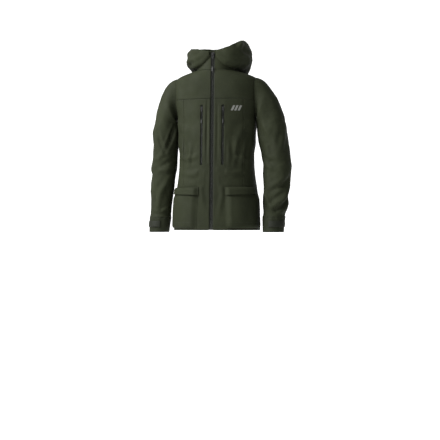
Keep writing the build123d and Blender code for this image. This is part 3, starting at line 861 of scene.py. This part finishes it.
def make_collar():
    """The collar and its lining, which meet in a rolled edge."""
    levels = np.linspace(0.0005, COLLAR_TOP - 0.0015, 22)
    outer = np.array([collar_ring(z) for z in levels])
    outer[0] = outer[1]
    outer[0][:, 2] = -0.003
    outs = facing(outer, False, 8, outer[8] * (1, 1, 0))
    move = drift(outer, 0.07, 0.0016, 61) * ease(np.linspace(0.1, 1, 22))[:, None]
    outer = outer + outs * move[..., None]
    outer = smooth(outer, 1, 2, closed=False)
    way = outer[-1] * (1, 1, 0)
    way = way / np.linalg.norm(way, axis=1, keepdims=True)
    roll = [outer[-1] + np.array((0, 0, up)) - way * inset for inset, up in
            ((0.0006, 0.0012), (0.0022, 0.0022), (0.0040, 0.0014), (0.0048, -0.0012))]
    shell = grid_object("collar_cloth", np.concatenate([outer, roll]), "shell_fabric", False, True)
    stand_in(shell, "torso", "collar")
    inner = np.array([row - way * 0.0048 for row in outer[::-1]])
    inner[0] = roll[-1]
    lining = grid_object("collar_lining_cloth", inner, "lining", False, True)
    stand_in(lining, "torso", "collar_lining")
    stitches("collar_stitch", [(outer[-2], outs[-2]), (outer[2], outs[2])], "torso")
    return shell, lining


collar, collar_lining = make_collar()

HOOD_COLUMNS, HOOD_ROWS = 220, 72
HOOD_PIVOT_Y = -0.058
# Stations of the hood's section round the neck: degrees from the front, then points in millimetres as
# (out from the collar, height) from the neck seam, round the outside, over the rim and back inside.
NAPE = (180, [(1, 4), (58, -84), (84, -112), (106, -50), (115, 62), (98, 116), (76, 66), (28, -20)])
HOOD_RIGHT = [
    (9, [(1, 50), (3, 54), (5, 60), (6, 67), (5, 73), (3, 75), (1.5, 74), (0.8, 71)]),
    (28, [(1, 22), (6, 26), (11, 38), (13, 55), (12, 70), (8, 78), (4, 77), (1.5, 73)]),
    (48, [(1, 9), (10, 12), (21, 24), (27, 44), (24, 68), (15, 83), (9, 81), (3, 72)]),
    (80, [(1, 6), (20, 10), (38, 20), (46, 42), (42, 74), (29, 95), (19, 88), (6, 58)]),
    (112, [(1, 5), (26, 0), (50, 12), (60, 42), (57, 80), (42, 102), (29, 84), (6, 34)]),
    (138, [(1, 4), (40, -30), (74, -24), (86, 34), (88, 80), (70, 110), (50, 76), (10, 12)]),
    (158, [(1, 4), (52, -72), (84, -100), (106, -30), (114, 66), (96, 118), (72, 70), (24, -8)]),
    NAPE,
]
HOOD_LEFT = [
    (9, [(1, 50), (3, 54), (5, 60), (6, 68), (5, 74), (3, 77), (1.5, 76), (0.8, 72)]),
    (28, [(1, 22), (7, 26), (13, 40), (16, 58), (15, 74), (10, 86), (6, 84), (2, 75)]),
    (48, [(1, 9), (12, 12), (27, 26), (35, 48), (33, 74), (23, 98), (14, 94), (4, 76)]),
    (80, [(1, 6), (26, 8), (50, 20), (60, 46), (52, 92), (34, 126), (24, 112), (8, 66)]),
    (112, [(1, 5), (34, 0), (62, 14), (72, 50), (66, 98), (46, 128), (32, 100), (7, 40)]),
    (138, [(1, 4), (44, -30), (78, -22), (92, 38), (92, 88), (72, 122), (52, 84), (10, 14)]),
    (158, [(1, 4), (54, -72), (86, -100), (107, -30), (115, 68), (97, 120), (72, 72), (24, -8)]),
    NAPE,
]


def soft_line(knots, spots, at):
    """A smooth cubic curve through knots at given spots, sampled at others."""
    knots, spots = np.asarray(knots, float), np.asarray(spots, float)
    tangent = np.gradient(knots, spots, axis=0)
    out = []
    for t in at:
        k = int(np.clip(np.searchsorted(spots, t) - 1, 0, len(spots) - 2))
        h = spots[k + 1] - spots[k]
        s = np.clip((t - spots[k]) / h, 0, 1)
        a, b = knots[k], knots[k + 1]
        p, q = tangent[k] * h, tangent[k + 1] * h
        out.append((2 * s**3 - 3 * s**2 + 1) * a + (s**3 - 2 * s**2 + s) * p
                   + (-2 * s**3 + 3 * s**2) * b + (s**3 - s**2) * q)
    return np.array(out)


def hood_grid():
    """The hood's cloth: columns go round the neck from one side of the zip to the other."""
    grid = np.zeros((HOOD_ROWS, HOOD_COLUMNS, 3))
    for c, turn in enumerate(np.linspace(-171, 171, HOOD_COLUMNS)):  # minus is the wearer's right
        from_front = 180 - abs(turn)
        stations = HOOD_RIGHT if turn < 0 else HOOD_LEFT
        knots = soft_line([np.array(points).ravel() for _, points in stations],
                          [degrees for degrees, _ in stations], [from_front])[0].reshape(-1, 2)
        profile = soft_line(knots, np.arange(8), np.linspace(0, 7, HOOD_ROWS))
        alpha = math.radians(from_front) * (-1 if turn < 0 else 1)
        way = np.array((math.sin(alpha), -math.cos(alpha), 0))
        hit = reach(collar_cad, (0, 0, 0.03), [way], 0.3)[0]
        base = 0.084 if math.isnan(hit) else hit
        grid[:, c] = way * (base + profile[:, :1] / 1000) + (0, 0, 1) * (profile[:, 1:] / 1000)
    return grid


def hood_weights(points):
    """0 where the hood is sewn to the neck and by the zip, 1 on its free roll and pouch."""
    down = np.linspace(0, 1, len(points))[:, None]
    seam = ease(down / 0.16) * ease((1.04 - down) / 0.12)
    return seam * ease((points[..., 1] - HOOD_PIVOT_Y - 0.002) / 0.05)


# Each fold is a line of points, its width and how far it stands out.
HOOD_FOLDS = [
    ([(-0.020, -0.090, 0.062), (-0.052, -0.082, 0.040), (-0.086, -0.060, 0.030)], 0.009, -0.0050),
    ([(-0.030, -0.088, 0.074), (-0.075, -0.070, 0.074), (-0.115, -0.020, 0.078)], 0.010, 0.0060),
    ([(0.024, -0.090, 0.066), (0.060, -0.084, 0.050), (0.098, -0.062, 0.040)], 0.010, -0.0060),
    ([(0.080, -0.060, 0.060), (0.112, -0.050, 0.100), (0.120, -0.020, 0.122)], 0.010, 0.0060),
    ([(-0.085, -0.045, 0.062), (-0.118, -0.010, 0.050), (-0.128, 0.040, 0.060)], 0.012, -0.0100),
    ([(-0.060, -0.075, 0.040), (-0.100, -0.050, 0.026), (-0.124, 0.000, 0.022)], 0.010, -0.0070),
    ([(-0.090, -0.020, 0.095), (-0.125, 0.050, 0.085), (-0.135, 0.110, 0.060)], 0.010, 0.0050),
    ([(0.070, -0.070, 0.080), (0.118, -0.030, 0.078), (0.142, 0.040, 0.050)], 0.013, -0.0110),
    ([(0.060, -0.080, 0.040), (0.110, -0.050, 0.030), (0.140, 0.010, 0.028)], 0.010, 0.0050),
    ([(0.100, -0.010, 0.118), (0.140, 0.060, 0.090), (0.145, 0.120, 0.040)], 0.011, -0.0060),
    ([(-0.090, 0.175, 0.080), (-0.030, 0.200, 0.040), (0.040, 0.205, 0.050)], 0.013, -0.0055),
    ([(-0.080, 0.190, -0.010), (-0.010, 0.205, -0.030), (0.080, 0.190, 0.000)], 0.013, 0.0050),
    ([(0.060, 0.200, 0.085), (0.020, 0.205, 0.010), (0.050, 0.190, -0.070)], 0.012, 0.0045),
    ([(-0.070, 0.180, 0.020), (-0.060, 0.190, -0.040), (-0.030, 0.185, -0.090)], 0.011, -0.0045),
]
hood_points = smooth(hood_grid(), 0, 3, closed=False)
hood_way = hood_points[30:33].mean(axis=0) - hood_points[0]
hood_outs = facing(hood_points, False, 31, hood_way)
down = np.linspace(0, 1, HOOD_ROWS)
hood_calm = (ease((down - 0.04) / 0.15) * ease((0.97 - down) / 0.1))[:, None]
column = np.arange(HOOD_COLUMNS)
ends = ease(np.minimum(column, column[::-1]) / 26.0)[None, :]
hood_move = creases(hood_points, HOOD_FOLDS) + drift(hood_points, 0.10, 0.0032, 71)
hood_move = hood_move + drift(hood_points, 0.04, 0.0010, 72)
hood_points = hood_points + hood_outs * (hood_move * hood_calm * ends)[..., None]
hood_outs = facing(hood_points, False, 31, hood_way)
hood_lookup = KDTree(hood_points.shape[0] * hood_points.shape[1])
for k, p in enumerate(hood_points.reshape(-1, 3)):
    hood_lookup.insert(p, k)
hood_lookup.balance()


def blend_with_hood(made, node):
    """A piece stands for a hood node, with its placement baked into its mesh."""
    weights = hood_weights(hood_points).ravel()
    blended(made, [weights[hood_lookup.find(v.co)[1]] for v in made.data.vertices])
    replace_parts(made, node)
    return made


def hood_patch(name, node, slot, cols, rows, lift, thick):
    """A piece laid over the hood's cloth, by its grid columns and rows."""
    grid = hood_points[rows][:, cols] + hood_outs[rows][:, cols] * lift
    return blend_with_hood(thicken(grid_object(name, grid, slot, False, True), thick, 0), node)


hood = thicken(grid_object("hood_cloth", hood_points, "shell_fabric", False, True), 0.0012, 0)
blend_with_hood(hood, "hood_shell")
brim = hood_patch("hood_brim_cloth", "hood_brim", "shell_fabric",
                  slice(86, 134), slice(44, 54), 0.0016, 0.0016)
hood_patch("hood_adjuster_patch", "hood_adjuster", "shell_fabric_dark",
           slice(105, 116), slice(28, 34), 0.0018, 0.0020)


def tube(name, points, radius, slot, sides=10):
    """A round binding that follows a run of points."""
    run = np.gradient(points, axis=0)
    run /= np.linalg.norm(run, axis=1, keepdims=True)
    up = np.tile(np.array((0, 0, 1.0)), (len(points), 1))
    side = np.cross(run, up)
    side /= np.maximum(np.linalg.norm(side, axis=1, keepdims=True), 1e-9)
    up = np.cross(side, run)
    turn = np.linspace(0, 2 * math.pi, sides, endpoint=False)
    cos, sin = np.cos(turn)[None, :, None], np.sin(turn)[None, :, None]
    rings = points[:, None] + radius * (cos * side[:, None] + sin * up[:, None])
    return grid_object(name, rings, slot, True)


neck = hood_points[0, 22:-22].copy()
seam = tube("hood_seam_binding", neck + np.array((0, 0, -0.0005)), 0.0017, "shell_fabric")
stand_in(seam, "torso", "hood_seam")

# --- hip pockets, flaps, zips and other pieces on the body -------------------------------------------


def edge_rise(far, width):
    """A quarter-round rise from an edge."""
    t = np.clip(far / width, 0, 1)
    return math.sqrt(max(0.0, 1 - (1 - t) ** 2))


POCKET_WIDTH, FLAP_WIDTH = 0.205, 0.17
POCKET_ENDS = ((0.0605, -0.118), (0.186, 0.004))  # (x, y) on the wearer's left
FLAP_ENDS = ((0.0575, -0.118), (0.178, -0.045))
FLAP_TOP, FLAP_LOW = -0.506, -0.5375


def crowded(share):
    """Places from 0 to 1 across a pocket, closer together near its ends."""
    even = np.linspace(0, 1, 70)
    return share * (0.5 - 0.5 * np.cos(even * math.pi)) + (1 - share) * even


def bearing(spot, sign):
    """The angle round the body of an (x, y) spot on the wearer's left, or of its mirror image."""
    turn = math.atan2(spot[1] - AXIS_Y, spot[0])
    return turn if sign > 0 else math.pi - turn


def make_pocket(side):
    """A hip pocket: a patch that stands off the body, rounded down to its sewn edges."""
    sign = SIDES[side]
    low, high = (corner.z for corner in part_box(f"hip_pocket_{side}"))
    start, stop = (bearing(spot, sign) for spot in POCKET_ENDS)
    grid = []
    for v in np.concatenate([np.linspace(0, 0.12, 14), np.linspace(0.14, 1, 34)]):
        row = []
        for u in crowded(0.6):
            p, n = round_body(start + u * (stop - start), low + v * (high - low))
            rise = ease(u * POCKET_WIDTH / 0.034 + 0.04) * edge_rise((1 - u) * POCKET_WIDTH, 0.014)
            rise *= edge_rise(v * (high - low), 0.016) * (1 - 0.35 * ease((v - 0.86) / 0.12))
            belly = 0.0010 * math.sin(u * math.pi) * math.sin(v * math.pi)
            belly += 0.0004 * math.sin(u * 21) * (1 - v)
            row.append(p + unit(n * (1, 1, 0.2)) * (0.0006 + 0.0090 * rise + belly * rise))
        grid.append(row)
    grid = np.array(grid)
    pocket = grid_object(f"hip_pocket_{side}_cloth", grid, "shell_fabric", False, sign < 0)
    thicken(pocket, 0.0010)
    stand_in(pocket, "torso", f"hip_pocket_{side}")
    outs = facing(grid, False, (20, 35), grid[20, 35] * (1, 1, 0))
    runs = [(grid[15], outs[15]), (grid[15:, 14], outs[15:, 14]), (grid[15:, -15], outs[15:, -15])]
    stitches(f"hip_pocket_stitch_{side}", runs, "torso")
    return pocket


def make_flap(side):
    """A hip pocket's flap, sewn along its top and free below."""
    sign = SIDES[side]
    start, stop = (bearing(spot, sign) for spot in FLAP_ENDS)
    grid = []
    for v in np.concatenate([np.linspace(0, 0.3, 10), np.linspace(0.34, 1, 16)]):
        row = []
        for u in crowded(0.5):
            droop = 0.0030 * (1 - u) - 0.0025 * u * u
            z = FLAP_TOP - v * (FLAP_TOP - FLAP_LOW - 0.0006 + droop)
            p, n = round_body(start + u * (stop - start), z)
            out = 0.25 + 0.75 * ease(u * FLAP_WIDTH / 0.030)
            out *= 1 - 0.35 * (1 - edge_rise((1 - u) * FLAP_WIDTH, 0.008))
            out = 0.0010 + 0.0112 * edge_rise(v * 0.031, 0.013) * out
            out += 0.0016 * v * (0.5 + 0.5 * math.sin(u * 9 + sign))
            row.append(p + unit(n * (1, 1, 0)) * out)
        grid.append(row)
    grid = np.array(grid)
    flap = grid_object(f"hip_flap_{side}_cloth", grid, "shell_fabric", False, sign > 0)
    thicken(flap, 0.0016, 0)
    heights = np.array([v.co.z for v in flap.data.vertices])
    blended(flap, ease((FLAP_TOP - 0.0005 - heights) / 0.010))
    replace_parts(flap, f"hip_flap_{side}")
    outs = facing(grid, False, (12, 35), grid[12, 35] * (1, 1, 0))
    stitches(f"hip_flap_stitch_{side}", [(grid[-5], outs[-5])], f"hip_flap_{side}")
    stitches(f"hip_flap_seam_{side}", [(grid[2], outs[2])], "torso")
    return flap


pockets = {side: (make_pocket(side), make_flap(side)) for side in SIDES}


def points_of(node):
    """The frame's own points of a node."""
    return np.array([v.co for v in NODES[node].data.vertices])


def make_teeth(name, node, pitch):
    """The coils as rows of rounded loops, hooked alternately from the two sides."""
    cad = points_of(node)
    top = cad[cad[:, 2] > cad[:, 2].max() - 0.0015]
    a = top.mean(axis=0)
    b = cad[cad[:, 2] < cad[:, 2].min() + 0.0015].mean(axis=0)
    way = unit(b - a)
    across = np.linalg.svd((top - a) * (1, 1, 0))[2][0]
    across = across * np.sign(across[0])
    out = np.cross(across, way)
    out *= -np.sign(out[1])
    half = ((top - a) @ across).max()
    deep = (top - a) @ out
    thick = (deep.max() - deep.min()) / 2
    spots, faces = [], []
    ring = [(-0.5, -0.7), (0.5, -0.7), (0.5, 0.55), (0.25, 0.95), (-0.25, 0.95), (-0.5, 0.55)]
    for k in range(int(np.linalg.norm(b - a) / pitch)):
        for sign, lag in ((-1, 0.0), (1, 0.5)):
            at = a + way * pitch * (k + lag + 0.25)
            base = len(spots)
            for far, size in ((0.10, 0.62), (0.32, 0.92), (0.80, 0.88), (1.0, 0.6)):
                for u, v in ring:
                    spots.append(at + across * sign * half * (far * 1.04 - 0.04)
                                 + way * u * pitch * 0.78 * size + out * v * thick * size)
            for r in (base, base + 6, base + 12):
                faces += [(r + c, r + (c + 1) % 6, r + 6 + (c + 1) % 6, r + 6 + c) for c in range(6)]
            faces.append(tuple(base + c for c in range(6)))
            faces.append(tuple(base + 18 + c for c in range(5, -1, -1)))
    mesh = bpy.data.meshes.new(name)
    mesh.from_pydata([tuple(s) for s in spots], [], faces)
    made = finish_mesh(name, mesh, "zip_coil")
    stand_in(made, "torso", node)


make_teeth("front_zip_teeth", "front_zip_coils", 0.0019)
for side in SIDES:
    make_teeth(f"chest_zip_teeth_{side}", f"chest_zip_coils_{side}", 0.0016)


def make_storm_flap():
    """The strip of cloth behind the main zip."""
    cad = points_of("storm_flap")
    top_y = cad[cad[:, 2] > cad[:, 2].max() - 0.003][:, 1].mean()
    low_y = cad[cad[:, 2] < cad[:, 2].min() + 0.003][:, 1].mean()
    top_z, low_z = cad[:, 2].max(), cad[:, 2].min()
    grid = []
    for t in np.linspace(0, 1, 180):
        y, z = top_y + t * (low_y - top_y), top_z + t * (low_z - top_z)
        grid.append([(x, y + 0.0004 * math.sin(t * 31 + x * 90), z)
                     for x in np.linspace(cad[:, 0].min(), cad[:, 0].max(), 9)])
    flap = grid_object("storm_flap_cloth", np.array(grid), "shell_fabric_dark")
    thicken(flap, 0.0008, 0)
    stand_in(flap, "torso", "storm_flap")
    return flap


storm_flap = make_storm_flap()


def make_bag(side):
    """A chest pocket's mesh bag, behind the front panel."""
    low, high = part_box(f"chest_pocket_bag_{side}")
    xs = np.linspace(low.x + 0.001, high.x - 0.001, 22)
    zs = np.linspace(low.z + 0.001, high.z - 0.001, 40)
    grid = laid(xs, zs, lambda x, z: -0.0098 - 0.0006 * math.sin(x * 90 + z * 60))
    bag = grid_object(f"chest_pocket_bag_{side}_mesh", grid, "mesh")
    stand_in(bag, "torso", f"chest_pocket_bag_{side}")
    return bag


bags = {side: make_bag(side) for side in SIDES}


def make_hem():
    """The hem's facing, inside the body's lower edge, and its row of stitches."""
    low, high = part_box("hem_facing")
    zs = np.concatenate([[low.z + 0.0004], np.linspace(low.z + 0.002, high.z - 0.001, 9)])
    gap = 0.17  # the half angle left open at the zip
    start, stop = -math.pi / 2 + gap, 1.5 * math.pi - gap
    grid = []
    for z, inset in zip(zs, [0.0020, 0.0060] + 8 * [0.0086]):
        row = []
        for turn in np.linspace(start, stop, 200):
            p, n = round_body(turn, max(z, HEM + 0.0015))
            row.append((p[0], p[1], z) - unit(n * (1, 1, 0)) * inset)
        grid.append(row)
    made = grid_object("hem_facing_cloth", np.array(grid), "shell_fabric_dark", False, True)
    stand_in(made, "torso", "hem_facing")
    points, outs = zip(*[round_body(turn, high.z - 0.004) for turn in np.linspace(start, stop, 400)])
    stitches("hem_stitch", [(np.array(points), np.array(outs))], "torso")
    return made


hem_facing = make_hem()
YOKE_ROWS = (-0.1262, -0.1318)  # the heights of the yoke's two rows of stitches
FRONT_ROW, CHEST_ROW = 0.0115, 0.0078  # how far rows of stitches are from a zip's middle
rows = [line_on_body([(x, -0.672), (x, -0.150), (x, -0.128)], 200) for x in (-FRONT_ROW, FRONT_ROW)]
rows += [line_on_body([(x, -0.126), (x, -0.014)], 60) for x in (-FRONT_ROW, FRONT_ROW)]
rows += [line_on_body([(s * 0.012, z), (s * 0.160, z)], 80) for s in (-1, 1) for z in YOKE_ROWS]
stitches("front_stitch", rows, "torso")
rows = [line_on_body([(-wide, z), (wide, z)], count, front=False)
        for wide, z, count in zip((0.165, 0.122), YOKE_ROWS, (160, 120))]
stitches("back_yoke_stitch", rows, "torso")
for side in SIDES:
    middle = CHEST_ZIP[side].x
    rows = [line_on_body([(middle + e, -0.158), (middle + e, -0.410)], 90) for e in (-CHEST_ROW, CHEST_ROW)]
    rows += [line_on_body([(middle - CHEST_ROW, z), (middle + CHEST_ROW, z)], 8) for z in (-0.1535, -0.4145)]
    stitches(f"chest_zip_stitch_{side}", rows, "torso")


def make_mark():
    """Three slanted bars printed on the chest, which stand for nothing."""
    wide, low = 0.009, -0.180
    for k, start in enumerate((0.078, 0.092, 0.106)):
        grid = []
        for z in np.linspace(-0.158, low, 10):
            lean = (z - low) * 0.45
            row = [on_body(x + lean, z) for x in np.linspace(start, start + wide, 5)]
            grid.append([p + n * 0.0004 for p, n in row])
        bar = grid_object(f"chest_mark_{k}", np.array(grid), None, paint=MARK)
        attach(bar, "torso")


make_mark()


def make_loop():
    """The webbing loop inside the back of the neck, sewn at its two ends."""
    low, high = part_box("hanger_loop")
    grid = []
    for k in range(6):
        z = low.z + (high.z - low.z) * 0.62 + k / 5 * 0.009 - 0.004
        grid.append([(0.029 * math.sin(t), -0.003 * math.cos(t), z + 0.004 * math.cos(t))
                     for t in np.linspace(-1.5, 1.5, 30)])
    grid = np.array(grid)
    grid[..., 1] += high.y - grid[..., 1].max()
    loop = grid_object("hanger_loop_webbing", grid, "webbing")
    thicken(loop, 0.0012, 0)
    stand_in(loop, "torso", "hanger_loop")
    return loop


hanger = make_loop()


CORD_LENGTH, CORD_THICKNESS = 0.036, 0.0022


def make_pull_cord(name, node, body):
    """A pull's cord: straight, hanging from its link to its grip."""
    cad = points_of(node)
    ends = [cad[np.abs(cad[:, 2] - z) < 0.0006].mean(axis=0) for z in (cad[:, 2].max(), cad[:, 2].min())]
    way = unit(ends[1] - ends[0])
    middle = (ends[0] + ends[1]) / 2
    top, low = middle - way * CORD_LENGTH / 2, middle + way * CORD_LENGTH / 2
    curve = bpy.data.curves.new(name, "CURVE")
    curve.dimensions = "3D"
    curve.bevel_depth = CORD_THICKNESS / 2
    curve.bevel_resolution = 4
    curve.use_fill_caps = True
    line = curve.splines.new("NURBS")
    line.points.add(1)
    for point, spot in zip(line.points, (top, low)):
        point.co = (*spot, 1)
    line.order_u = 2
    line.use_endpoint_u = True
    made = link_new(name, curve)
    curve.materials.append(PAINTS["pull_cord"])
    stand_in(made, body, node)


make_pull_cord("front_pull_cord", "front_zip_pull_cord", "front_pull")
for side in SIDES:
    make_pull_cord(f"chest_pull_cord_{side}", f"chest_zip_pull_cord_{side}", f"chest_pull_{side}")

# --- the frame's own hard parts, painted -----------------------------------------------------------

HARD_SLOTS = {"tapes": "zip_tape", "slider": "zip_metal", "link": "zip_metal", "stops": "zip_metal",
              "zip_box": "zip_coil", "grip": "pull_grip", "cord_lock": "cord_lock", "drawcord": "elastic"}
for name, node in NODES.items():
    slot = next((slot for word, slot in HARD_SLOTS.items() if word in name), None)
    if node.hide_render or slot is None:
        continue
    node.data.materials.clear()
    node.data.materials.append(PAINTS[slot])
    if slot not in ("zip_tape", "elastic"):
        bevel = node.modifiers.new("edge", "BEVEL")
        bevel.width = 0.0003
        bevel.segments = 2
        bevel.limit_method = "ANGLE"

# --- the cloth pieces, listed ----------------------------------------------------------------------

hung = [*panels.values(), *(upper for upper, _ in sleeves.values()),
        *(lower for _, lower in sleeves.values())]
others = [collar, collar_lining, hood, *(pocket for pocket, _ in pockets.values()),
          *(flap for _, flap in pockets.values()), *bags.values(), storm_flap, hem_facing, brim]


for made in [*hung, *(cuff for cuff, _ in cuffs.values()), *others]:
    heights = [v.co.z for v in made.data.vertices]

# --- floor, light and camera -----------------------------------------------------------------------

TURN = math.radians(10.5)
SIGHT = -0.646  # the camera's height
FLOOR = -1.592
CAMERA_FAR = 5.0
VIEW_WIDTH = 1.918  # what the picture spans at the jacket
to_right = Vector((math.cos(TURN), math.sin(TURN), 0))
back_way = Vector((math.sin(TURN), -math.cos(TURN), 0))
aim = Vector((0, 0.023, SIGHT)) + to_right * 0.0109

floor_mesh = bpy.data.meshes.new("floor")
spots = []
for far, up in ((-6.0, 0.0), (7.0, 0.0), (7.0, 8.0)):
    for side in (-9.0, 9.0):
        spots.append(tuple(aim - back_way * far + to_right * side + Vector((0, 0, FLOOR - SIGHT + up))))
floor_mesh.from_pydata(spots, [], [(0, 1, 3, 2), (2, 3, 5, 4)])
floor_paint = Paint("floor_paint", 0.9, 0.0, 0.1)
floor_paint.colour((0.82, 0.82, 0.82, 1))
floor_paint.shader.inputs["Emission Color"].default_value = (1, 1, 1, 1)
floor_paint.shader.inputs["Emission Strength"].default_value = 0.62
floor_mesh.materials.append(floor_paint.made)
floor = link_new("floor", floor_mesh)


def lamp(name, turn, up, far, power, size):
    """A soft square light aimed at the chest. turn is from the camera's side, plus to the viewer's right."""
    light = bpy.data.lights.new(name, "AREA")
    light.energy = power
    light.shape = "SQUARE"
    light.size = size
    made = link_new(name, light)
    angle = TURN + math.radians(turn)
    rise = math.radians(up)
    way = Vector((math.sin(angle) * math.cos(rise), -math.cos(angle) * math.cos(rise), math.sin(rise)))
    chest = Vector((0, 0, -0.3))
    made.location = chest + way * far
    made.rotation_euler = (-way).to_track_quat("-Z", "Y").to_euler()
    return made


lamps = [
    lamp("key", -64, 30, 2.9, 205, 1.1),
    lamp("front", -20, 12, 4.0, 16, 2.2),
    lamp("top", -25, 74, 3.0, 30, 1.6),
]
world = bpy.data.worlds.new("studio")
world.use_nodes = True
world.node_tree.nodes["Background"].inputs["Color"].default_value = (1, 1, 1, 1)
world.node_tree.nodes["Background"].inputs["Strength"].default_value = 0.38
bpy.context.scene.world = world
bpy.context.scene.view_settings.view_transform = "Standard"

camera_data = bpy.data.cameras.new("camera")
camera = link_new("camera", camera_data)
camera_data.sensor_width = 36
camera_data.lens = camera_data.sensor_width * CAMERA_FAR / VIEW_WIDTH
camera.location = aim + back_way * CAMERA_FAR
camera.rotation_euler = (-back_way).to_track_quat("-Z", "Y").to_euler()
camera_data.clip_end = 60
bpy.context.scene.camera = camera
